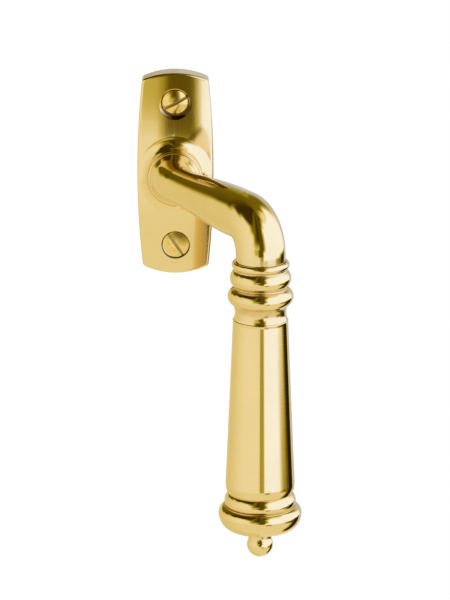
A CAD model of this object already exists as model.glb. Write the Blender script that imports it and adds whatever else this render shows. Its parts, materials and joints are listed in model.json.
"""Looks of the cranked brass window handle: turned and cast pieces, metal finishes and a studio.

Metres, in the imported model's frame: the spindle's axis meets the wall face at the origin, the
room is on the -Y side and the arm is cranked towards +X. A depth is a distance from the wall face.
"""
import json
import math

import bmesh
import bpy
import numpy as np
from bpy.props import FloatProperty, FloatVectorProperty, PointerProperty
from bpy.types import Operator, Panel, PropertyGroup
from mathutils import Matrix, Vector


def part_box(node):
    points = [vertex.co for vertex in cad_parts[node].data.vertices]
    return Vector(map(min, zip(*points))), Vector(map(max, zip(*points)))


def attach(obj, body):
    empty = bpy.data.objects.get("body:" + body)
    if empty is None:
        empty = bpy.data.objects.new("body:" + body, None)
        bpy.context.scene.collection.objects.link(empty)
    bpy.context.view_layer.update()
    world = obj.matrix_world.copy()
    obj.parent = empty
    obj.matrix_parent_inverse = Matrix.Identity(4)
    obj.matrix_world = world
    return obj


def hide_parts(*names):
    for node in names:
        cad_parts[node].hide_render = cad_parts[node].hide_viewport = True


bl_info = {
    "name": "Window handle",
    "version": (1, 0, 0),
    "blender": (4, 5, 0),
    "location": "3D View > Sidebar > Handle",
    "description": "Builds the turned and cast pieces of a brass window handle and their finishes",
    "category": "Object",
}

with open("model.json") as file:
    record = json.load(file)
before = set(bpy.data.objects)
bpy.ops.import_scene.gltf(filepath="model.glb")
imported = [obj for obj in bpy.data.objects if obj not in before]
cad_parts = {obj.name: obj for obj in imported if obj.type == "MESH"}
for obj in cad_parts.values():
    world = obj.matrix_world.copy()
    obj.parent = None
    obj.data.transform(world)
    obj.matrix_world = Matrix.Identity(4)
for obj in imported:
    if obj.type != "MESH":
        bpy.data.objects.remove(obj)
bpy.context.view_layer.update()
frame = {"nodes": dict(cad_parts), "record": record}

MILLIMETRE = 0.001

# Sampling of the surfaces; the arm's rings crowd towards its root by a power of their share
TURNED_COLUMNS = 160
ARM_COLUMNS = 128
ARM_RINGS = 260
ARM_CROWDING = 1.35
GRIP_STEPS = 90
ARC_STEPS = 28
EDGE_STEPS = 6
SHARP_ANGLE = math.radians(38)
JOINED = 1e-7

# How much a groove or a crest must depart from the surface round it to be fully dull or worn, and
# how many points of the profile on each side count as that surface
RELIEF_FULL = 0.35 * MILLIMETRE
RELIEF_REACH = 9

# Dirt at the arm's root and at its foot in the ferrule: how much there is, how far it reaches
ROOT_DIRT = 0.15
ROOT_DIRT_REACH = 0.5 * MILLIMETRE
FOOT_DIRT_REACH = 1.6 * MILLIMETRE

# Screws: rows beside the slot, points along a row, rings per turn of the thread, how steeply it
# falls from crest to root, and the part of the rim's radius where its wear starts
HEAD_BANK = 24
HEAD_COLUMNS = 41
THREAD_STEPS = 10
THREAD_SHARPNESS = 1.6
RIM_WEAR_START = 0.93

# Dirt in the ring between each head and its seat: level, inner radius, the radius out to which it
# goes all the way round, and the outer radius that it reaches on the side where it has settled
SCREW_SEATS = ((0.0215, 0.0039, 0.0041, 0.0048), (-0.0215, 0.0039, 0.0041, 0.0043))
SEAT_SOFT = 0.12 * MILLIMETRE
SETTLED_SIDE = (0.4, 0, -0.92)
SETTLED_EDGES = (-1.0 * MILLIMETRE, 3.2 * MILLIMETRE)
SEAT_GRIME = (0.10, 0.055, 0.015)

# Stretch of a grain: a small factor draws it out along that axis
ALONG_Z = (1, 1, 0.02)
ROUND_Z = (0.03, 0.03, 1)
ALONG_Y = (1, 0.02, 1)
EVEN = (1, 1, 1)

# Part of a noise's range that its values fill, and how strong its finer octaves are
MIDDLE = (0.3, 0.7)
NOISE_ROUGHNESS = 0.55

# Each brass: stretch of its grain, waves per metre, height and how strong its dull spots are
CAST_GRAIN = (ALONG_Z, 2600.0, 3e-6, 0.05)
ARM_GRAIN = (EVEN, 6000.0, 0.8e-6, 0.05)
TURNED_GRAIN = (ROUND_Z, 3800.0, 2e-6, 0.03)

# All brass: waves per metre of clouds, spots and dirt, the noise's edges for spots and dirt, the
# most tarnish in clouds and grooves, and roughness: clouds multiply it, the others add to it
CLOUD_SCALE = 90.0
SPOT_SCALE = 1400.0
DIRT_SCALE = 500.0
SPOT_EDGES = (0.60, 0.72)
DIRT_EDGES = (0.25, 0.65)
CLOUD_TARNISH = 0.05
GROOVE_TARNISH = 0.24
CLOUD_ROUGHNESS = (0.88, 1.15)
GRAIN_ROUGHNESS = (-0.015, 0.02)
GROOVE_ROUGHNESS = 0.16
CREST_ROUGHNESS = -0.03

# The same for the screw heads, with the rings that turning has left
RING_SCALE = 9000.0
RING_HEIGHT = 1.2e-6
HEAD_CLOUD_SCALE = 700.0
HEAD_TARNISH = 0.25
SLOT_TARNISH = 0.65
HEAD_ROUGHNESS = (0.8, 1.25)
SLOT_ROUGHNESS = 0.18
EDGE_ROUGHNESS = -0.06

# Each steel: colour of its patches, roughness, stretch of its grain and the patches' waves per metre
ZINC_PLATE = ((0.50, 0.48, 0.40), 0.32, ALONG_Z, 240.0)
ZINC_BAR = ((0.44, 0.46, 0.47), 0.28, ALONG_Y, 180.0)
BLUED_SPRING = ((0.09, 0.07, 0.06), 0.38, ALONG_Z, 320.0)

# All steel: the noise's edges and strength of the patches, their roughness and the drawn grain
PATCH_EDGES = (0.35, 0.68)
PATCH_SHARE = 0.8
PATCH_ROUGHNESS = (0.8, 1.3)
DRAWN_SCALE = 3000.0
DRAWN_HEIGHT = 8e-6
DRAWN_ROUGHNESS = (-0.03, 0.05)

# Nylon: waves per metre of its clouds and of its skin, the skin's height, shade and roughness
NYLON_CLOUD_SCALE = 260.0
NYLON_SKIN_SCALE = 5200.0
NYLON_SKIN_HEIGHT = 6e-6
NYLON_SHADE = 0.82
NYLON_ROUGHNESS = (0.38, 0.55)

# Camera and stage
AIM = Vector((0.01474, -0.0108, -0.0375))
CAMERA_AZIMUTH = math.radians(0.5)
CAMERA_ELEVATION = math.radians(16)
CAMERA_DISTANCE = 1.2
SENSOR_HEIGHT = 24
LENS = 161.44
NEAR = 0.01
FLOOR_LEVEL = -0.3
FLOOR_SIZE = 30
FLOOR_CLEAR = 0.55
FLOOR_COLOUR = (0.92, 0.92, 0.91, 1)
FLOOR_LEAST_WHITE = 0.55

# Soft lamps: name, place, size across and power in watts
LAMPS = (
    ("left softbox", (-0.7, -0.8, 1.1), 0.7, 14),
    ("right softbox", (0.9, -0.5, 0.8), 0.5, 7),
)

# Edges beyond the ends of azimuth and elevation, for a layer that runs right up to an end
FROM_BACK = (-181, -180)
TO_BACK = (181, 182)
FROM_FLOOR = (-91, -90)
TO_TOP = (90, 91)

# What the brass reflects: brightness of the table, then the azimuth edges, the elevation edges and
# the brightness of each layer over it. Edges: where it starts, is complete, ends to be so, is gone
TABLE = 0.965
STUDIO_LAYERS = (
    ((*FROM_BACK, *TO_BACK), (*FROM_FLOOR, -20, -16), 0.90),
    ((*FROM_BACK, -150, -50), (*FROM_FLOOR, *TO_TOP), 0.80),
    ((-5, 1, 13, 18), (-10, -7, *TO_TOP), 0.13),
    ((*FROM_BACK, 30, 60), (34, 46, *TO_TOP), 0.05),
    ((-125, -108, -92, -74), (26, 38, 58, 70), 0.05),
    ((*FROM_BACK, -122, -102), (15, 25, *TO_TOP), 0.09),
    ((*FROM_BACK, -137, -122), (8, 18, *TO_TOP), 0.12),
    ((*FROM_BACK, -160, -125), (12, 22, *TO_TOP), 0.18),
    ((-50, -28, 10, 16), (22, 36, 40, 50), 0.20),
    ((-34, -18, 4, 10), (-2, 18, *TO_TOP), 0.26),
    ((-26, -6, 8, 14), (10, 24, *TO_TOP), 0.05),
    ((-32, -20, -12, -6), (-10, -4, 0, 6), 0.60),
    ((-14.5, -4.5, 13, 18), (-11, -8.8, 1, 8), 0.13),
    ((-4, 1, 12, 17), (-17, -15, -11, -9), 0.45),
    ((25, 60, *TO_BACK), (50, 62, *TO_TOP), 0.20),
    ((9.5, 17.5, 126, 142), (-18, -14, 52, 68), 1.09),
    ((40, 64, 94, 116), (50, 56, 64, 84), 0.95),
    ((-6, 2, 20, 42), (42, 56, *TO_TOP), 0.11),
    ((-5, 1, 12, 29), (-2, 6, *TO_TOP), 0.12),
    ((15, 19, 30, 36), (-28, -25, -18, -14), 0.42),
    ((66, 88, 104, 110), (-28, -24, -15.5, -12.5), 0.25),
    ((92, 114, 133, 143), (-60, -50, -13, -8), 0.025),
    ((124, 148, *TO_BACK), (12, 36, *TO_TOP), 0.20),
    ((*FROM_BACK, -175, -160), (-40, -30, 40, 62), 0.40),
)

# The same edges and the colour of the pale backdrop behind the handle
BACKDROPS = (
    ((138, 150, *TO_BACK), (-40, -30, 10, 44), (0.59, 0.64, 0.75)),
    ((*FROM_BACK, -176, -164), (-40, -30, 10, 26), (0.57, 0.60, 0.66)),
)

# Colour of the studio's light by its brightness: amber in the shade, gold, cream, then daylight
TONES = (
    (0.0, (0.0, 0.0, 0.0)),
    (0.05, (0.050, 0.031, 0.0)),
    (0.16, (0.157, 0.118, 0.003)),
    (0.39, (0.394, 0.340, 0.022)),
    (0.63, (0.627, 0.568, 0.145)),
    (0.82, (0.822, 0.757, 0.445)),
    (0.96, (0.963, 0.968, 0.897)),
    (1.13, (1.126, 1.368, 2.28)),
)
BRIGHTEST = 2.28

# The bodies' solids by body, and the finishes of the solids that keep their own meshes
BODIES = frame["record"]["behaviour"]["bodies"]
FITTINGS = {
    "cast brass": ("backplate",),
    "zinc plate": ("back_cover", "cover_rivets", "thrust_washer", "detent_cam"),
    "bright zinc bar": ("spindle", "spindle_pin", "tie_rod"),
    "blued spring": ("left_detent_spring", "right_detent_spring", "spring_washer", "circlip"),
    "moulded nylon": ("bearing_bush",),
}


# Settings

def length(description, millimetres):
    """A length whose default is given in millimetres."""
    return FloatProperty(description=description, default=millimetres * MILLIMETRE, subtype="DISTANCE",
                         unit="LENGTH", precision=5)


def angle(description, degrees):
    """An angle whose default is given in degrees."""
    return FloatProperty(description=description, default=math.radians(degrees), subtype="ANGLE",
                         unit="ROTATION")


def share(description, value):
    """A factor between nought and one."""
    return FloatProperty(description=description, default=value, min=0, max=1, subtype="FACTOR")


def colour(description, value):
    """A linear colour."""
    return FloatVectorProperty(description=description, default=value, min=0, max=1, subtype="COLOR")


class HANDLE_PG_arm(PropertyGroup):
    """Shank, collar, cranked arm and tenon: one casting."""
    shank_diameter: length("Journal that turns in the bush", 11.6)
    shank_end: length("Depth of the shank's inner end", 3.2)
    groove_back: length("Depth where the clip's groove starts", 3.8)
    groove_front: length("Depth where the clip's groove ends", 4.55)
    groove_depth: length("How deep the clip's groove is cut", 0.5)
    collar_back: length("Depth of the collar's inner face", 11.55)
    collar_front: length("Depth of the collar's outer face", 12.45)
    collar_diameter: length("Collar that covers the boss", 15.8)
    collar_edge: length("Rounding of the collar's edges", 0.3)
    root_diameter: length("Slimmest part of the arm", 10.8)
    flare: length("How far the root flares over the collar", 2.1)
    flare_length: length("Length of the flare along the arm", 10.0)
    elbow_diameter: length("Thickest part of the arm", 14.1)
    bend_depth: length("Depth of the corner where the arm turns aside", 18.2)
    bend_radius: length("Radius of that bend", 12.0)
    elbow_radius: length("Radius of the turn down to the grip", 9.2)
    swell_start: length("Distance from the collar where the arm starts to swell", 8.0)
    swell_length: length("Length over which it swells", 34.0)
    socket_width: length("Square socket for the spindle", 7.1)
    socket_corner: length("Cut corners of the socket", 0.6)
    socket_length: length("Depth of the socket in the shank", 9.4)
    foot_level: length("Level of the arm's end in the ferrule", -12.0)
    tenon_diameter: length("Tenon in the ferrule", 9.0)
    tenon_length: length("Length of the tenon", 9.0)
    thread_depth: length("Depth of the tie rod's hole in the tenon", 7.05)


class HANDLE_PG_line(PropertyGroup):
    """The vertical line on which the ferrule, the grip, the cap and the finial are turned."""
    offset: length("Distance of the line to the side of the spindle", 25.3)
    reach: length("Distance of the line from the wall face", 62.4)
    bore_radius: length("Radius of the hole for the tie rod", 2.55)


class HANDLE_PG_ferrule(PropertyGroup):
    """Rim, two beads and a cove."""
    top: length("Level of the rim's lip", -11.2)
    recess_radius: length("Recess that takes the arm's end", 7.3)
    recess_depth: length("Depth of that recess", 0.8)
    tenon_bore_radius: length("Radius of the tenon's hole", 4.55)
    tenon_bore_depth: length("Depth of the tenon's hole below the recess", 9.05)
    lip_radius: length("Rim at its top", 7.7)
    rim_radius: length("Rim at its widest", 8.2)
    rim_height: length("Height of the rim", 2.2)
    groove_radius: length("Bottom of the grooves beside the upper bead", 7.1)
    upper_bead_radius: length("Upper bead at its widest", 8.7)
    upper_bead_height: length("Height of the upper bead", 5.4)
    lower_bead_radius: length("Lower bead at its widest", 9.35)
    lower_bead_height: length("Height of the lower bead", 5.1)
    cove_end_radius: length("Cove at its head and its foot", 7.7)
    cove_radius: length("Cove at its slimmest", 7.3)
    cove_height: length("Height of the cove", 4.2)
    groove_reach: length("How far from a groove's root its rounding starts", 0.8)


class HANDLE_PG_grip(PropertyGroup):
    """Barrel that widens downwards."""
    top: length("Level of the grip's head", -28.1)
    height: length("Height of the grip", 52.0)
    top_radius: length("Grip at its head", 7.85)
    middle_radius: length("Grip at half height", 8.85)
    bottom_radius: length("Grip where its foot turns in", 9.95)
    foot_radius: length("Grip at its foot", 9.2)
    turn_height: length("Height of the turned-in foot", 3.0)
    top_edge: length("Rounding of the head's edge", 0.3)


class HANDLE_PG_cap(PropertyGroup):
    """Bead and bell below the grip."""
    top: length("Level of the cap's head", -80.1)
    head_radius: length("Cap at its head", 9.2)
    bead_radius: length("Bead at its widest", 10.25)
    bead_widest: length("How far below the head the bead is widest", 2.2)
    bead_height: length("Height of the bead", 3.8)
    groove_radius: length("Bottom of the groove below the bead", 9.9)
    shoulder_height: length("Height of the bell's shoulder", 2.3)
    bell_radius: length("Bell at its widest", 11.95)
    bell_height: length("Height of the bell below its widest part", 5.0)
    base_radius: length("Flat under the bell", 7.2)


class HANDLE_PG_finial(PropertyGroup):
    """Ball nut under the cap."""
    top: length("Level of the seat under the bell", -91.2)
    neck_radius: length("Neck of the ball", 3.3)
    neck_height: length("Height of the neck", 2.9)
    ball_radius: length("Radius of the ball", 3.75)
    thread_depth: length("Depth of the tie rod's hole", 4.05)


class HANDLE_PG_screws(PropertyGroup):
    """Slotted screws with raised countersunk heads."""
    head_diameter: length("Head at its rim", 8.0)
    head_rise: length("Height of the domed head over its rim", 1.2)
    lower_wear: length("How much lower the lower head's dome is", 0.9)
    lower_lean: FloatVectorProperty(description="Slope of the lower head along X and Z", size=2,
                                    default=(0.04, 0.02))
    slot_width: length("Width of the slot", 0.8)
    slot_depth: length("Depth of the slot from the top of the dome", 1.3)
    least_slot: length("Depth that is left of it on a flat head", 0.5)
    slot_edge: length("Worn edge of the slot", 0.07)
    shank_diameter: length("Plain shank in the plate", 3.2)
    thread_diameter: length("Over the crests of the thread", 4.0)
    thread_root: length("Core of the thread", 2.9)
    thread_pitch: length("Distance from crest to crest", 1.6)
    thread_length: length("Full thread behind the wall face", 18.0)
    tip_length: length("Length of the point", 4.0)
    upper_slot_angle: angle("Turn of the upper slot", 28)
    lower_slot_angle: angle("Turn of the lower slot", -56)


class HANDLE_PG_finishes(PropertyGroup):
    """Colours and polish of the metals."""
    brass: colour("Clean brass", (0.88, 0.68, 0.33))
    patina: colour("Tarnish in the grooves", (0.38, 0.24, 0.05))
    screw_brass: colour("Brass of the screws", (0.96, 0.70, 0.225))
    zinc: colour("Zinc-plated steel", (0.61, 0.62, 0.60))
    spring: colour("Oiled, blued spring steel", (0.16, 0.17, 0.20))
    nylon: colour("Moulded nylon", (0.80, 0.77, 0.69))
    cast_roughness: share("Roughness of the plate", 0.10)
    arm_roughness: share("Roughness of the arm", 0.085)
    turned_roughness: share("Roughness of the turned pieces", 0.075)
    screw_roughness: share("Roughness of the screw heads", 0.19)


# Surfaces

def arc(start, middle, end, steps=ARC_STEPS):
    """Circle through three points, as points from start to end.

    The centre is where the perpendicular bisectors of the two chords meet. The angle runs evenly
    from the start to the end, on the side that holds the middle point.
    """
    start, middle, end = (np.array(point, float) for point in (start, middle, end))
    chords = 2 * np.array((middle - start, end - start))
    centre = np.linalg.solve(chords, ((middle @ middle - start @ start), (end @ end - start @ start)))
    angles = [math.atan2(*(point - centre)[::-1]) for point in (start, middle, end)]
    sweep = (angles[2] - angles[0]) % math.tau
    if (angles[1] - angles[0]) % math.tau > sweep:
        sweep -= math.tau
    turn = angles[0] + sweep * np.linspace(0, 1, steps)
    radius = np.linalg.norm(start - centre)
    return centre + radius * np.column_stack((np.cos(turn), np.sin(turn)))


def tangent_arc(start, heading, end, steps=ARC_STEPS):
    """Arc that leaves the start along a heading and reaches the end.

    Its middle lies on the line that halves the angle between the heading and the chord, at half
    the chord's length over the cosine of that half angle.
    """
    start, end = np.array(start, float), np.array(end, float)
    chord = end - start
    halfway = np.array(heading, float) / np.linalg.norm(heading) + chord / np.linalg.norm(chord)
    middle = start + halfway * (chord @ chord) / 2 / (halfway @ chord)
    return arc(start, middle, end, steps)


def ellipse(centre, radii, first, last, steps=ARC_STEPS):
    """Points of an ellipse: centre plus radii times cosine and sine of an angle in degrees."""
    turn = np.radians(np.linspace(first, last, steps))
    return np.array(centre) + np.array(radii) * np.column_stack((np.cos(turn), np.sin(turn)))


def corner(point, radius, first, last, steps=EDGE_STEPS):
    """Rounded edge: a circle's quarter about a point, between two angles in degrees."""
    return ellipse(point, (radius, radius), first, last, steps)


def eased(parts, reach):
    """Parts of a profile joined end to start. Round each joint the points within reach give way to
    a curve from the last to the next, whose weights are the squares and the product of the way
    left and the way gone."""
    joined = parts[0]
    way = np.linspace(0, 1, EDGE_STEPS)[1:-1, None]
    for part in parts[1:]:
        joint = part[0]
        before = joined[np.linalg.norm(joined - joint, axis=1) > reach]
        after = part[np.linalg.norm(part - joint, axis=1) > reach]
        curve = (1 - way)**2 * before[-1] + 2 * way * (1 - way) * joint + way**2 * after[0]
        joined = np.vstack((before, curve, after))
    return joined


def relief(radii):
    """How far each radius stands over the mean of its neighbours along the profile."""
    window = 2 * RELIEF_REACH + 1
    mean = np.convolve(np.pad(radii, RELIEF_REACH, "edge"), np.ones(window) / window, "valid")
    return radii - mean


def grid_faces(rows, columns, first=0, closed=True, wrap=False):
    """Quads between neighbouring rows and columns of a grid whose first point has that number. If
    closed, the last column joins the first, and with wrap the last row joins the first."""
    row = np.arange(rows if wrap else rows - 1)[:, None]
    column = np.arange(columns if closed else columns - 1)
    near = first + row * columns
    far = first + (row + 1) % rows * columns
    after = (column + 1) % columns
    return np.stack((near + column, near + after, far + after, far + column), -1).reshape(-1, 4)


def mark(mesh, **marks):
    """Gives a mesh's points their values, by name."""
    for label, values in marks.items():
        mesh.attributes.new(label, "FLOAT", "POINT").data.foreach_set("value", values)


def new_object(name, data):
    """Object of that name in the scene."""
    made = bpy.data.objects.new(name, data)
    bpy.context.scene.collection.objects.link(made)
    return made


def finished_piece(name, mesh):
    """Object at the origin whose faces are smooth but for the edges sharper than the limit."""
    mesh.shade_smooth()
    mesh.set_sharp_from_angle(angle=SHARP_ANGLE)
    return new_object(name, mesh)


def skin(name, rings, start, end, wrap, recess, wear):
    """Mesh over a grid of rings, each ring closed on itself.

    Face (i, j) joins points j and j + 1 of rings i and i + 1. With wrap the last ring joins the
    first, and otherwise a fan may close either end on a point. If the enclosed volume, a sixth of
    the sum of the triangles' triple products, is negative, the faces are turned round.
    """
    rows, columns = rings.shape[:2]
    points = rings.reshape(-1, 3)
    quads = grid_faces(rows, columns, wrap=wrap)
    column = np.arange(columns)
    after = (column + 1) % columns
    fans = []
    for pole, first, order in ((start, 0, (after, column)), (end, (rows - 1) * columns, (column, after))):
        if pole is not None:
            tips = np.full(columns, len(points))
            fans.append(np.column_stack((tips, first + order[0], first + order[1])))
            points = np.vstack((points, pole))
    triangles = np.vstack([quads[:, :3], quads[:, (0, 2, 3)], *fans])
    first, second, third = (points[triangles[:, k]] for k in range(3))
    if np.einsum("ij,ij->", first, np.cross(second, third)) < 0:
        quads = quads[:, ::-1]
        fans = [fan[:, ::-1] for fan in fans]
    mesh = bpy.data.meshes.new(name)
    mesh.from_pydata(points.tolist(), [], [face for part in (quads, *fans) for face in part.tolist()])
    at_poles = np.zeros(len(points) - rows * columns)
    mark(mesh, recess=np.append(np.repeat(recess, columns), at_poles),
         wear=np.append(np.repeat(wear, columns), at_poles))
    return finished_piece(name, mesh)


def turned(name, outside, inside, line, start=None, end=None):
    """Surface of revolution about the grip's line: each profile point (radius, level) becomes a
    ring of points at line + radius * (cosine, sine) and that level. The outside's grooves and
    crests are marked from its relief, and the inside, the hidden part, closes the profile.
    """
    outside = outside[np.append(True, np.linalg.norm(np.diff(outside, axis=0), axis=1) > JOINED)]
    profile = np.vstack((outside, inside))
    turn = np.linspace(0, math.tau, TURNED_COLUMNS, endpoint=False)
    rings = np.empty((len(profile), TURNED_COLUMNS, 3))
    rings[..., 0] = line.offset + profile[:, :1] * np.cos(turn)
    rings[..., 1] = -line.reach + profile[:, :1] * np.sin(turn)
    rings[..., 2] = profile[:, 1:]
    height = np.append(relief(outside[:, 0]), np.zeros(len(inside))) / RELIEF_FULL
    poles = [None if level is None else (line.offset, -line.reach, level) for level in (start, end)]
    return skin(name, rings, *poles, start is None and end is None, np.clip(-height, 0, 1),
                np.clip(height, 0, 1))


def arm_line(arm, line):
    """The arm's centre line as a function from distances to (place, side, over).

    A distance counts from the wall face: straight out, round the bend of that radius, straight
    along the crank's heading, round the elbow in an upright plane, then straight down. Each part
    adds its own piece of the distance, clipped to its length: a line adds length times heading,
    and an arc adds radius times (sine, one less cosine) of the angle turned.
    """
    crank = np.array((line.offset, arm.bend_depth - line.reach))
    heading = crank / np.linalg.norm(crank)
    bend = math.acos(-heading[1])
    tangent = arm.bend_radius * math.tan(bend / 2)
    bend_start = arm.bend_depth - tangent
    bend_end = bend_start + arm.bend_radius * bend
    elbow_start = bend_end + np.linalg.norm(crank) - tangent - arm.elbow_radius
    elbow_end = elbow_start + arm.elbow_radius * math.pi / 2

    def trace(distance):
        """Place on the line at each distance, and the two directions square to it there."""
        distance = np.asarray(distance, float)
        turn = np.clip(distance - bend_start, 0, bend_end - bend_start) / arm.bend_radius
        run = np.clip(distance - bend_end, 0, elbow_start - bend_end)
        drop = np.clip(distance - elbow_start, 0, elbow_end - elbow_start) / arm.elbow_radius
        run = run + arm.elbow_radius * np.sin(drop)
        out = np.minimum(distance, bend_start) + arm.bend_radius * np.sin(turn) - heading[1] * run
        down = arm.elbow_radius * (1 - np.cos(drop)) + np.maximum(distance - elbow_end, 0)
        place = np.column_stack((arm.bend_radius * (1 - np.cos(turn)) + heading[0] * run, -out, -down))
        level = np.column_stack((np.sin(turn), -np.cos(turn), np.zeros(len(turn))))
        along = level * np.cos(drop)[:, None] - np.outer(np.sin(drop), (0, 0, 1))
        side = np.column_stack((np.cos(turn), np.sin(turn), np.zeros(len(turn))))
        return place, side, np.cross(along, side)

    return trace, elbow_start, elbow_end


def arm_radius(arm, distance):
    """Radius of the arm by its distance from the collar: the root's, plus a square that dies away
    over the flare's length, plus a smooth step up to the elbow's."""
    root = arm.root_diameter / 2
    flare = arm.flare * np.maximum(1 - distance / arm.flare_length, 0)**2
    step = np.clip((distance - arm.swell_start) / arm.swell_length, 0, 1)
    return root + flare + (arm.elbow_diameter / 2 - root) * step**2 * (3 - 2 * step)


def square_reach(turn, width, cut):
    """Distance to the edge of a square with cut corners, in the direction of each angle: the
    nearer of the flat side and the cut."""
    across, up = np.abs(np.cos(turn)), np.abs(np.sin(turn))
    return np.minimum(width / 2 / np.maximum(across, up), (width - cut) / (across + up))


def make_arm(arm, line):
    """Rings along the arm's centre line, their radius by distance, from the socket's bottom, out
    over the shank, the groove and the collar, along the arm, down the tenon and up its hole."""
    trace, elbow_start, elbow_end = arm_line(arm, line)
    turn = np.linspace(0, math.tau, ARM_COLUMNS, endpoint=False)
    shank = arm.shank_diameter / 2
    groove = shank - arm.groove_depth
    collar = arm.collar_diameter / 2 - arm.collar_edge
    back = corner((arm.collar_back + arm.collar_edge, collar), arm.collar_edge, 180, 90)
    front = corner((arm.collar_front - arm.collar_edge, collar), arm.collar_edge, 90, 0)
    foot = elbow_end - arm.elbow_radius - arm.foot_level
    run = arm.collar_front + (foot - arm.collar_front) * np.linspace(0, 1, ARM_RINGS)**ARM_CROWDING
    body = np.column_stack((run, arm_radius(arm, run - arm.collar_front)))
    shoulder = np.array(((arm.shank_end, shank), (arm.groove_back, shank), (arm.groove_back, groove),
                         (arm.groove_front, groove), (arm.groove_front, shank), (arm.collar_back, shank)))
    tenon = arm.tenon_diameter / 2
    tip = foot + arm.tenon_length
    stub = np.array(((foot, tenon), (tip, tenon), (tip, line.bore_radius),
                     (tip - arm.thread_depth, line.bore_radius)))
    outline = np.vstack((shoulder, back, front, body, stub))
    socket_bottom = arm.shank_end + arm.socket_length
    distance = np.concatenate(((socket_bottom, arm.shank_end), outline[:, 0]))
    radius = np.repeat(np.append((0, 0), outline[:, 1])[:, None], ARM_COLUMNS, 1)
    radius[:2] = square_reach(turn, arm.socket_width, arm.socket_corner)
    place, side, over = trace(distance)
    ring = np.cos(turn)[None, :, None] * side[:, None] + np.sin(turn)[None, :, None] * over[:, None]
    rings = place[:, None] + radius[..., None] * ring
    root = ROOT_DIRT * np.exp(-np.abs(distance - arm.collar_front) / ROOT_DIRT_REACH)
    seat = np.exp(-np.abs(distance - foot) / FOOT_DIRT_REACH)
    wear = np.clip((distance - elbow_start) / (elbow_end - elbow_start), 0, 1) * (1 - seat)
    ends = trace((socket_bottom, tip - arm.thread_depth))[0]
    return skin("arm", rings, *ends, False, np.clip(root + seat, 0, 1), wear)


def make_ferrule(ferrule, line):
    """Outside: four arcs, each through its two ends and its widest or slimmest point, and rounded
    where they meet. Inside: the recess for the arm, the tenon's hole and the rod's."""
    heights = (ferrule.rim_height, ferrule.upper_bead_height, ferrule.lower_bead_height,
               ferrule.cove_height)
    levels = ferrule.top - np.cumsum((0, *heights))
    ends = (ferrule.lip_radius, ferrule.groove_radius, ferrule.groove_radius,
            ferrule.cove_end_radius, ferrule.cove_end_radius)
    middles = (ferrule.rim_radius, ferrule.upper_bead_radius, ferrule.lower_bead_radius,
               ferrule.cove_radius)
    arcs = [arc((ends[k], levels[k]), (middles[k], (levels[k] + levels[k + 1]) / 2),
                (ends[k + 1], levels[k + 1])) for k in range(len(heights))]
    floor = ferrule.top - ferrule.recess_depth
    stop = floor - ferrule.tenon_bore_depth
    inside = ((line.bore_radius, levels[-1]), (line.bore_radius, stop), (ferrule.tenon_bore_radius, stop),
              (ferrule.tenon_bore_radius, floor), (ferrule.recess_radius, floor),
              (ferrule.recess_radius, ferrule.top))
    return turned("ferrule_turning", eased(arcs, ferrule.groove_reach), inside, line)


def make_grip(grip, line):
    """Outside: a rounded edge, one long arc through three radii, and a tangent arc in to the foot."""
    foot = grip.top - grip.height
    turn_level = foot + grip.turn_height
    side = arc((grip.top_radius, grip.top), (grip.middle_radius, (grip.top + turn_level) / 2),
               (grip.bottom_radius, turn_level), GRIP_STEPS)
    below_edge = side[side[:, 1] < grip.top - grip.top_edge]
    edge = tangent_arc((grip.top_radius - grip.top_edge, grip.top), (1, 0), below_edge[0], EDGE_STEPS)
    turn_in = tangent_arc(side[-1], side[-1] - side[-2], (grip.foot_radius, foot))
    inside = ((line.bore_radius, foot), (line.bore_radius, grip.top))
    return turned("grip_turning", np.vstack((edge, below_edge, turn_in[1:])), inside, line)


def make_cap(cap, line):
    """Outside: the bead's arc, a quarter ellipse out over the bell's shoulder, and one in to its
    flat underside."""
    groove_level = cap.top - cap.bead_height
    bell_level = groove_level - cap.shoulder_height
    underside = bell_level - cap.bell_height
    bead = arc((cap.head_radius, cap.top), (cap.bead_radius, cap.top - cap.bead_widest),
               (cap.groove_radius, groove_level))
    shoulder = ellipse((cap.groove_radius, bell_level),
                       (cap.bell_radius - cap.groove_radius, cap.shoulder_height), 90, 0)
    bowl = ellipse((cap.base_radius, bell_level),
                   (cap.bell_radius - cap.base_radius, cap.bell_height), 0, -90)
    inside = ((line.bore_radius, underside), (line.bore_radius, cap.top))
    return turned("end_cap_turning", np.vstack((bead, shoulder, bowl)), inside, line)


def make_finial(finial, line):
    """Outside: the ball's arc from its lowest point, and its straight neck. Inside: the rod's hole."""
    joint = finial.top - finial.neck_height
    centre = joint - math.sqrt(finial.ball_radius**2 - finial.neck_radius**2)
    lowest = centre - finial.ball_radius
    ball = arc((0, lowest), (finial.ball_radius, centre), (finial.neck_radius, joint), 2 * ARC_STEPS)[1:]
    neck = np.column_stack((np.full(EDGE_STEPS, finial.neck_radius),
                            np.linspace(joint, finial.top, EDGE_STEPS)))
    stop = finial.top - finial.thread_depth
    inside = ((line.bore_radius, finial.top), (line.bore_radius, stop))
    return turned("finial_turning", np.vstack((ball, neck)), inside, line, lowest, stop)


def head_rows(screws):
    """Rows across a screw's head, as (distance from the middle, drop, is the slot's floor): the
    floor up to the wall, the wall's worn edge, then the dome out to the rim at radius * sine."""
    rim = screws.head_diameter / 2
    half = screws.slot_width / 2
    edge = screws.slot_edge
    bank = rim * np.sin(np.linspace(math.asin((half + 2 * edge) / rim), math.pi / 2, HEAD_BANK))
    away = np.concatenate(((0, half, half, half + edge), bank))
    drop = np.concatenate(((0, 0, edge, 0), np.zeros(HEAD_BANK)))
    floor = np.arange(len(away)) < 2
    return [np.concatenate((sign * row[:0:-1], row)) for sign, row in ((-1, away), (1, drop), (1, floor))]


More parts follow.
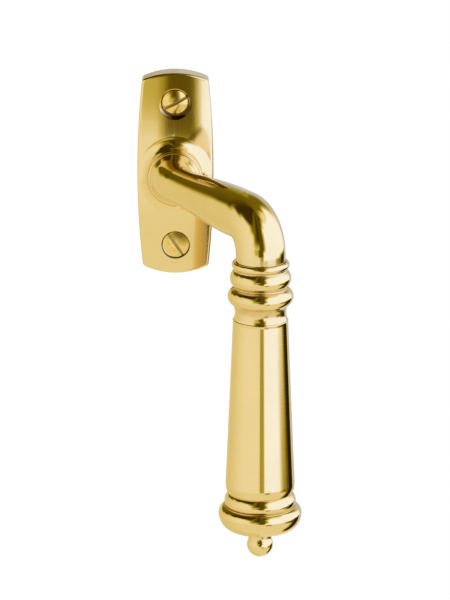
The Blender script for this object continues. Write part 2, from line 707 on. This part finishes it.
def rotated(across, up, turn):
    """Both coordinates of places turned about the origin by an angle."""
    cosine, sine = math.cos(turn), math.sin(turn)
    return across * cosine - up * sine, across * sine + up * cosine


def make_screw(name, screws, node, slot_angle, worn, lean):
    """Head: rows parallel to the slot, each from edge to edge of the circle, as high as the slot's
    floor or as the dome, which is lower by the wear, plus the lean's slopes times X and Z. Their
    ends make one ring, which the cone, the shank and the thread take up: the thread's radius falls
    from crest to root by the part of a turn left over at each height.
    """
    low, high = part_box(node)
    rim = screws.head_diameter / 2
    rim_depth = -low[1] - screws.head_rise
    rise = screws.head_rise - worn
    dome = rim**2 / (2 * rise) + rise / 2
    away, drop, is_floor = head_rows(screws)
    reach = np.sqrt(np.maximum(rim**2 - away**2, 0))
    width = reach[:, None] * np.linspace(-1, 1, HEAD_COLUMNS)
    offset = np.broadcast_to(away[:, None], width.shape)
    top = np.sqrt(dome**2 - width**2 - offset**2) - dome + rise - drop[:, None]
    floor = min(screws.head_rise - screws.slot_depth, rise - screws.least_slot)
    turned_x, turned_z = rotated(width, offset, slot_angle)
    height = np.where(is_floor[:, None], floor, top) + lean[0] * turned_x + lean[1] * turned_z
    head = np.stack((width, offset, height), -1).reshape(-1, 3)

    around = np.concatenate((np.arctan2(away, reach), np.arctan2(away, -reach)[::-1]))
    shank = screws.shank_diameter / 2
    tip = screws.thread_length + screws.tip_length
    depth = np.arange(0, tip, screws.thread_pitch / THREAD_STEPS)[:, None]
    turns = (depth / screws.thread_pitch - around / math.tau) % 1
    crest = 1 - THREAD_SHARPNESS * np.abs(2 * turns - 1)
    root = screws.thread_root / 2
    thread = root + (screws.thread_diameter / 2 - root) * np.maximum(crest, 0)
    thread = thread * np.clip((tip - depth) / screws.tip_length, 0, 1)
    level = np.ones_like(around)
    radius = np.vstack((rim * level, shank * level, shank * level, thread))
    below = np.vstack((np.concatenate((height[:, -1], height[::-1, 0])), (shank - rim) * level,
                       -rim_depth * level, -rim_depth - depth * level))
    body = np.stack((radius * np.cos(around), radius * np.sin(around), below), -1).reshape(-1, 3)

    points = np.vstack((head, body, ((0, 0, -rim_depth - tip),)))
    last = len(points) - 1 - len(around) + np.arange(len(around))
    faces = np.vstack((grid_faces(len(away), HEAD_COLUMNS, closed=False),
                       grid_faces(len(radius), len(around), len(head))[:, ::-1]))
    fan = np.column_stack((last, np.full(len(around), len(points) - 1), np.roll(last, -1)))
    turned_x, turned_z = rotated(points[:, 0], points[:, 1], slot_angle)
    centre = (low[2] + high[2]) / 2
    place = np.column_stack((turned_x, -rim_depth - points[:, 2], centre + turned_z))
    mesh = bpy.data.meshes.new(name)
    mesh.from_pydata(place.tolist(), [], faces.tolist() + fan.tolist())
    spread = np.hypot(points[:, 0], points[:, 1])
    blank = np.zeros(len(points) - len(head))
    rim_wear = np.clip((spread / rim - RIM_WEAR_START) / (1 - RIM_WEAR_START), 0, 1)
    slot_wear = np.concatenate((np.repeat(drop > 0, HEAD_COLUMNS), blank))
    recess = np.concatenate((np.repeat(is_floor, HEAD_COLUMNS), blank))
    mark(mesh, recess=recess, wear=np.maximum(rim_wear, slot_wear), across=spread)
    joined = bmesh.new()
    joined.from_mesh(mesh)
    bmesh.ops.remove_doubles(joined, verts=joined.verts, dist=JOINED)
    bmesh.ops.recalc_face_normals(joined, faces=joined.faces)
    joined.to_mesh(mesh)
    joined.free()
    return finished_piece(name, mesh)


# Materials

def add_node(tree, kind, inputs=(), **settings):
    """Adds a node and returns its outputs. An input is a pair of a socket and a value, which is a
    constant or another node's output."""
    made = tree.nodes.new(f"ShaderNode{kind}")
    for key, value in settings.items():
        setattr(made, key, value)
    for socket, value in inputs:
        if isinstance(value, bpy.types.NodeSocket):
            tree.links.new(value, made.inputs[socket])
        else:
            made.inputs[socket].default_value = value
    return made.outputs


def calculate(tree, operation, *values):
    """Output of a Math node."""
    return add_node(tree, "Math", enumerate(values), operation=operation)[0]


def vectors(tree, operation, *values):
    """Output of a Vector Math node: a number or a vector, as the operation gives it."""
    kind = "Value" if operation in ("LENGTH", "DOT_PRODUCT") else "Vector"
    return add_node(tree, "VectorMath", enumerate(values), operation=operation)[kind]


def spread_over(tree, value, *limits):
    """Output of a Map Range node: from low and high, to low and high."""
    return add_node(tree, "MapRange", enumerate((value, *limits)))[0]


def smooth(tree, value, low, high):
    """Smooth step from nought at low to one at high, where low may be the larger."""
    return add_node(tree, "MapRange", enumerate((value, low, high)), interpolation_type="SMOOTHSTEP")[0]


def window_mask(tree, value, edges):
    """One between two soft edges, each given by where it starts and where it is complete."""
    rise_start, rise_end, fall_start, fall_end = edges
    return calculate(tree, "MULTIPLY", smooth(tree, value, rise_start, rise_end),
                     smooth(tree, value, fall_end, fall_start))


def blend(tree, factor, first, second):
    """Mix of two colours, each a constant or an output."""
    colours = (value if isinstance(value, bpy.types.NodeSocket) else (*value, 1)
               for value in (first, second))
    return add_node(tree, "Mix", zip(("Factor", "A", "B"), (factor, *colours)), data_type="RGBA")["Result"]


def noise(tree, scale, detail=3.0, stretch=EVEN):
    """Noise on Object coordinates, drawn out along the axes whose factor is small."""
    place = add_node(tree, "TexCoord")["Object"]
    mapped = add_node(tree, "Mapping", (("Vector", place), ("Scale", stretch)))[0]
    inputs = (("Vector", mapped), ("Scale", scale), ("Detail", detail), ("Roughness", NOISE_ROUGHNESS))
    return add_node(tree, "TexNoise", inputs)["Fac"]


def attribute(tree, name):
    """A piece's own value per point, nought where it has none."""
    return add_node(tree, "Attribute", attribute_name=name)["Fac"]


def new_material(name, metallic):
    """Node tree and shader of a new material."""
    material = bpy.data.materials.new(name)
    material.use_nodes = True
    shader = material.node_tree.nodes["Principled BSDF"]
    shader.inputs["Metallic"].default_value = metallic
    return material.node_tree, shader


def wire(shader, tint, rough, grain, height):
    """Links a shader's colour and roughness, and a bump that raises the grain to that height."""
    tree = shader.id_data
    bump = add_node(tree, "Bump", (("Height", grain), ("Strength", 1.0), ("Distance", height)))
    for socket, output in (("Base Color", tint), ("Roughness", rough), ("Normal", bump["Normal"])):
        tree.links.new(output, shader.inputs[socket])


def cloudy(tree, clouds, roughness, factors):
    """Roughness times one factor in the thin clouds, and times the other in the thick ones."""
    return spread_over(tree, clouds, *MIDDLE, *(roughness * factor for factor in factors))


def seat_ring(tree, level, inner, middle, outer):
    """Share of dirt about a screw's axis at a level: one in a thin ring, and a wider ring that
    grows from nought to one towards the side where dirt settles."""
    place = add_node(tree, "TexCoord")["Object"]
    offset = vectors(tree, "SUBTRACT", place, (0, 0, level))
    away = vectors(tree, "LENGTH", vectors(tree, "MULTIPLY", offset, (1, 0, 1)))
    thin, wide = (window_mask(tree, away, (inner - SEAT_SOFT, inner, end, end + SEAT_SOFT))
                  for end in (middle, outer))
    settled = smooth(tree, vectors(tree, "DOT_PRODUCT", offset, SETTLED_SIDE), *SETTLED_EDGES)
    return calculate(tree, "MAXIMUM", thin, calculate(tree, "MULTIPLY", wide, settled))


def metal(name, base, tarnish, roughness, grain, seats=()):
    """Metal with four layers: cloudy tarnish, dull grooves, worn crests and the polishing's grain.

    Colour: the base, a little darker in clouds some millimetres wide, blending to the tarnish in
    the grooves, and dirt in the ring about each screw's head. Roughness: more in the grooves and
    in the clouds, less on the worn crests. Grain: fine noise drawn out along the polishing's path,
    raised by a few micrometres.
    """
    stretch, scale, height, dull_spots = grain
    tree, shader = new_material(name, 1)
    clouds = noise(tree, CLOUD_SCALE)
    groove = attribute(tree, "recess")
    lines = noise(tree, scale, detail=4.0, stretch=stretch)
    spots = spread_over(tree, noise(tree, SPOT_SCALE, detail=2.0), *SPOT_EDGES, 0.0, dull_spots)
    dirt = spread_over(tree, noise(tree, DIRT_SCALE), *DIRT_EDGES, 0.0, GROOVE_TARNISH)
    tint = blend(tree, spread_over(tree, clouds, *MIDDLE, 0.0, CLOUD_TARNISH), base, tarnish)
    tint = blend(tree, spots, tint, tarnish)
    tint = blend(tree, calculate(tree, "MULTIPLY", groove, dirt), tint, tarnish)
    for seat in seats:
        tint = blend(tree, seat_ring(tree, *seat), tint, SEAT_GRIME)
    rough = cloudy(tree, clouds, roughness, CLOUD_ROUGHNESS)
    rough = calculate(tree, "ADD", rough, spread_over(tree, lines, *MIDDLE, *GRAIN_ROUGHNESS))
    rough = calculate(tree, "MULTIPLY_ADD", groove, GROOVE_ROUGHNESS, rough)
    rough = calculate(tree, "MULTIPLY_ADD", attribute(tree, "wear"), CREST_ROUGHNESS, rough)
    wire(shader, tint, rough, lines, height)


def screw_metal(name, base, tarnish, roughness):
    """Turned screw head: fine rings round its own axis, dark slot, bright worn edges."""
    tree, shader = new_material(name, 1)
    groove = attribute(tree, "recess")
    inputs = (("W", attribute(tree, "across")), ("Scale", RING_SCALE), ("Detail", 2.0))
    rings = add_node(tree, "TexNoise", inputs, noise_dimensions="1D")["Fac"]
    clouds = noise(tree, HEAD_CLOUD_SCALE)
    tint = blend(tree, spread_over(tree, clouds, *MIDDLE, 0.0, HEAD_TARNISH), base, tarnish)
    tint = blend(tree, calculate(tree, "MULTIPLY", groove, SLOT_TARNISH), tint, tarnish)
    rough = cloudy(tree, clouds, roughness, HEAD_ROUGHNESS)
    rough = calculate(tree, "MULTIPLY_ADD", groove, SLOT_ROUGHNESS, rough)
    rough = calculate(tree, "MULTIPLY_ADD", attribute(tree, "wear"), EDGE_ROUGHNESS, rough)
    wire(shader, tint, rough, rings, RING_HEIGHT)


def plated_steel(name, base, other, roughness, grain, patch_scale):
    """Plated or blued steel: patches of a second tint, a drawn grain and uneven gloss."""
    tree, shader = new_material(name, 1)
    patches = noise(tree, patch_scale, detail=4.0)
    lines = noise(tree, DRAWN_SCALE, stretch=grain)
    tint = blend(tree, spread_over(tree, patches, *PATCH_EDGES, 0.0, PATCH_SHARE), base, other)
    drawn = spread_over(tree, lines, *MIDDLE, *DRAWN_ROUGHNESS)
    rough = calculate(tree, "ADD", cloudy(tree, patches, roughness, PATCH_ROUGHNESS), drawn)
    wire(shader, tint, rough, lines, DRAWN_HEIGHT)


def moulded_plastic(name, base):
    """Moulded nylon: a warm shade in clouds and a fine spark-eroded skin."""
    tree, shader = new_material(name, 0)
    shade = tuple(channel * NYLON_SHADE for channel in base)
    clouds = spread_over(tree, noise(tree, NYLON_CLOUD_SCALE), *MIDDLE, 0.0, 1.0)
    skin_grain = noise(tree, NYLON_SKIN_SCALE, detail=2.0)
    rough = spread_over(tree, skin_grain, *MIDDLE, *NYLON_ROUGHNESS)
    wire(shader, blend(tree, clouds, base, shade), rough, skin_grain, NYLON_SKIN_HEIGHT)


def finish(name):
    """The material of that name, made when it is first asked for."""
    if name not in bpy.data.materials:
        look = bpy.context.scene.handle_finishes
        makers = {
            "cast brass": (metal, look.brass, look.patina, look.cast_roughness, CAST_GRAIN, SCREW_SEATS),
            "arm brass": (metal, look.brass, look.patina, look.arm_roughness, ARM_GRAIN),
            "turned brass": (metal, look.brass, look.patina, look.turned_roughness, TURNED_GRAIN),
            "screw brass": (screw_metal, look.screw_brass, look.patina, look.screw_roughness),
            "zinc plate": (plated_steel, look.zinc, *ZINC_PLATE),
            "bright zinc bar": (plated_steel, look.zinc, *ZINC_BAR),
            "blued spring": (plated_steel, look.spring, *BLUED_SPRING),
            "moulded nylon": (moulded_plastic, look.nylon),
        }
        maker, *values = makers[name]
        maker(name, *values)
    return bpy.data.materials[name]


def dress(piece, name):
    """Gives a piece one finish."""
    piece.data.materials.clear()
    piece.data.materials.append(finish(name))


def place_piece(piece, node, name):
    """Dresses a new piece, lets it stand for its solid, and hangs it on the body that the solid
    belongs to."""
    dress(piece, name)
    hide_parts(node)
    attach(piece, next(body for body, nodes in BODIES.items() if node in nodes))


# Studio

def layer_mask(tree, azimuth, elevation, across, up):
    """One inside a layer's azimuth and elevation edges, nought outside."""
    return calculate(tree, "MULTIPLY", window_mask(tree, azimuth, across), window_mask(tree, elevation, up))


def tone(tree, brightness):
    """Colour of the light by its brightness, read from the tones by straight steps."""
    top = TONES[-1][0]
    share_of_top = calculate(tree, "DIVIDE", brightness, top)
    colours = add_node(tree, "ValToRGB", ((0, share_of_top),))["Color"]
    stops = colours.node.color_ramp.elements
    while len(stops) < len(TONES):
        stops.new(1)
    for stop, (level, tint) in zip(stops, TONES):
        stop.position = level / top
        stop.color = (*(channel / BRIGHTEST for channel in tint), 1)
    return add_node(tree, "VectorMath", ((0, colours), ("Scale", BRIGHTEST)), operation="SCALE")[0]


def studio_world():
    """World that the brass reflects, by azimuth from the front towards the window's side and by
    elevation, both in degrees: each layer covers what is below it between its soft edges, and the
    brightness they add up to is given its colour. Camera rays see plain white."""
    world = bpy.data.worlds.new("studio")
    bpy.context.scene.world = world
    world.use_nodes = True
    tree = world.node_tree
    tree.nodes.clear()
    direction = add_node(tree, "TexCoord")["Generated"]
    x, y, z = add_node(tree, "SeparateXYZ", (("Vector", direction),))
    front = calculate(tree, "MULTIPLY", y, -1.0)
    azimuth = calculate(tree, "DEGREES", calculate(tree, "ARCTAN2", x, front))
    elevation = calculate(tree, "DEGREES", calculate(tree, "ARCSINE", z))
    brightness = TABLE
    for across, up, level in STUDIO_LAYERS:
        mask = layer_mask(tree, azimuth, elevation, across, up)
        change = calculate(tree, "SUBTRACT", level, brightness)
        brightness = calculate(tree, "MULTIPLY_ADD", mask, change, brightness)
    light = tone(tree, brightness)
    for across, up, tint in BACKDROPS:
        light = blend(tree, layer_mask(tree, azimuth, elevation, across, up), light, tint)
    camera_ray = add_node(tree, "LightPath")["Is Camera Ray"]
    light = blend(tree, camera_ray, light, (1.0, 1.0, 1.0))
    background = add_node(tree, "Background", (("Color", light),))[0]
    add_node(tree, "OutputWorld", ((0, background),))


def pale_floor():
    """Level floor under the handle: pale and matt, with the object's shadow near it, and running
    out to the backdrop's white for the camera. The brass reflects the studio instead."""
    size = FLOOR_SIZE / 2
    corners = [(x * size, y * size, FLOOR_LEVEL) for x, y in ((-1, -1), (1, -1), (1, 1), (-1, 1))]
    mesh = bpy.data.meshes.new("floor")
    mesh.from_pydata(corners, [], [range(4)])
    floor = new_object("floor", mesh)
    floor.visible_glossy = False
    material = bpy.data.materials.new("pale floor")
    material.use_nodes = True
    tree = material.node_tree
    tree.nodes.clear()
    place = add_node(tree, "TexCoord")["Object"]
    far = smooth(tree, vectors(tree, "LENGTH", place), FLOOR_CLEAR / 2, FLOOR_CLEAR)
    camera_ray = add_node(tree, "LightPath")["Is Camera Ray"]
    clear = spread_over(tree, far, 0.0, 1.0, FLOOR_LEAST_WHITE, 1.0)
    part = calculate(tree, "MULTIPLY", camera_ray, clear)
    matt = add_node(tree, "BsdfDiffuse", (("Color", FLOOR_COLOUR),))[0]
    white = add_node(tree, "Emission", (("Strength", 1.0),))[0]
    mixed = add_node(tree, "MixShader", ((0, part), (1, matt), (2, white)))[0]
    add_node(tree, "OutputMaterial", ((0, mixed),))
    mesh.materials.append(material)


def soft_lamp(name, place, size, energy):
    """Area lamp that faces the handle. It lights matt surfaces and casts the soft shadow; what the
    brass reflects is the studio's own windows."""
    data = bpy.data.lights.new(name, "AREA")
    data.shape = "DISK"
    data.size = size
    data.energy = energy
    lamp = new_object(name, data)
    lamp.location = place
    lamp.rotation_euler = (AIM - Vector(place)).to_track_quat("-Z", "Y").to_euler()
    lamp.visible_glossy = False


def photo_camera():
    """Camera at the photograph's angle: raised by the elevation, square on to the plate, aimed so
    that the handle lies in the frame as it does there."""
    data = bpy.data.cameras.new("camera")
    data.sensor_fit = "VERTICAL"
    data.sensor_height = SENSOR_HEIGHT
    data.lens = LENS
    data.clip_start = NEAR
    camera = new_object("camera", data)
    level = math.cos(CAMERA_ELEVATION)
    away = Vector((level * math.sin(CAMERA_AZIMUTH), -level * math.cos(CAMERA_AZIMUTH),
                   math.sin(CAMERA_ELEVATION)))
    camera.location = AIM + away * CAMERA_DISTANCE
    camera.rotation_euler = (-away).to_track_quat("-Z", "Y").to_euler()
    bpy.context.scene.camera = camera


# Operators

class HANDLE_OT_stage(Operator):
    """Sets up the floor, the soft light, the studio that the metal reflects and the camera"""
    bl_idname = "handle.stage"
    bl_label = "Stage"

    def execute(self, context):
        context.scene.view_settings.view_transform = "Standard"
        studio_world()
        pale_floor()
        for name, place, size, energy in LAMPS:
            soft_lamp(name, place, size, energy)
        photo_camera()
        return {"FINISHED"}


class HANDLE_OT_fittings(Operator):
    """Finishes the backplate and the fittings behind it and inside the grip"""
    bl_idname = "handle.fittings"
    bl_label = "Plate and fittings"

    def execute(self, context):
        for name, nodes in FITTINGS.items():
            for node in nodes:
                dress(frame["nodes"][node], name)
        return {"FINISHED"}


def build(make, settings, node, name="turned brass"):
    """Makes a piece from its settings and the line's, and puts it in its solid's place."""
    place_piece(make(settings, bpy.context.scene.handle_line), node, name)
    return {"FINISHED"}


class HANDLE_OT_arm(Operator):
    """Builds the cranked arm with its shank, collar and tenon"""
    bl_idname = "handle.arm"
    bl_label = "Arm"

    def execute(self, context):
        return build(make_arm, context.scene.handle_arm, "neck", "arm brass")


class HANDLE_OT_ferrule(Operator):
    """Turns the ferrule's rim, beads and cove"""
    bl_idname = "handle.ferrule"
    bl_label = "Ferrule"

    def execute(self, context):
        return build(make_ferrule, context.scene.handle_ferrule, "ferrule")


class HANDLE_OT_grip(Operator):
    """Turns the grip's barrel"""
    bl_idname = "handle.grip"
    bl_label = "Grip"

    def execute(self, context):
        return build(make_grip, context.scene.handle_grip, "grip")


class HANDLE_OT_cap(Operator):
    """Turns the end cap's bead and bell"""
    bl_idname = "handle.cap"
    bl_label = "End cap"

    def execute(self, context):
        return build(make_cap, context.scene.handle_cap, "end_cap")


class HANDLE_OT_finial(Operator):
    """Turns the ball finial"""
    bl_idname = "handle.finial"
    bl_label = "Finial"

    def execute(self, context):
        return build(make_finial, context.scene.handle_finial, "finial")


class HANDLE_OT_screws(Operator):
    """Cuts the two fixing screws, with slots and threads"""
    bl_idname = "handle.screws"
    bl_label = "Fixing screws"

    def execute(self, context):
        screws = context.scene.handle_screws
        heads = (("upper", screws.upper_slot_angle, 0, (0, 0)),
                 ("lower", screws.lower_slot_angle, screws.lower_wear, screws.lower_lean))
        for side, *shape in heads:
            node = f"{side}_fixing_screw"
            piece = make_screw(f"{side}_screw", screws, node, *shape)
            place_piece(piece, node, "screw brass")
        return {"FINISHED"}


class HANDLE_PT_panel(Panel):
    """Lists the handle's pieces in the sidebar"""
    bl_idname = "HANDLE_PT_panel"
    bl_label = "Window handle"
    bl_space_type = "VIEW_3D"
    bl_region_type = "UI"
    bl_category = "Handle"

    def draw(self, context):
        for operator in OPERATORS:
            self.layout.operator(operator.bl_idname)


GROUPS = (HANDLE_PG_arm, HANDLE_PG_line, HANDLE_PG_ferrule, HANDLE_PG_grip, HANDLE_PG_cap,
          HANDLE_PG_finial, HANDLE_PG_screws, HANDLE_PG_finishes)
OPERATORS = (HANDLE_OT_fittings, HANDLE_OT_arm, HANDLE_OT_ferrule, HANDLE_OT_grip, HANDLE_OT_cap,
             HANDLE_OT_finial, HANDLE_OT_screws, HANDLE_OT_stage)


def scene_name(group):
    """Name under which a scene holds a group of settings."""
    return group.__name__.replace("_PG_", "_").lower()


def register():
    """Registers the settings, labelled by their own names, then the operators and the panel."""
    for group in GROUPS:
        for label, setting in group.__annotations__.items():
            setting.keywords["name"] = label.replace("_", " ").capitalize()
        bpy.utils.register_class(group)
        setattr(bpy.types.Scene, scene_name(group), PointerProperty(type=group))
    for item in (*OPERATORS, HANDLE_PT_panel):
        bpy.utils.register_class(item)


def unregister():
    """Takes them back in the opposite order."""
    for item in (HANDLE_PT_panel, *reversed(OPERATORS)):
        bpy.utils.unregister_class(item)
    for group in reversed(GROUPS):
        delattr(bpy.types.Scene, scene_name(group))
        bpy.utils.unregister_class(group)


def main():
    """Builds every piece in order."""
    register()
    for operator in OPERATORS:
        group, name = operator.bl_idname.split(".")
        getattr(getattr(bpy.ops, group), name)()


if __name__ == "__main__":
    main()
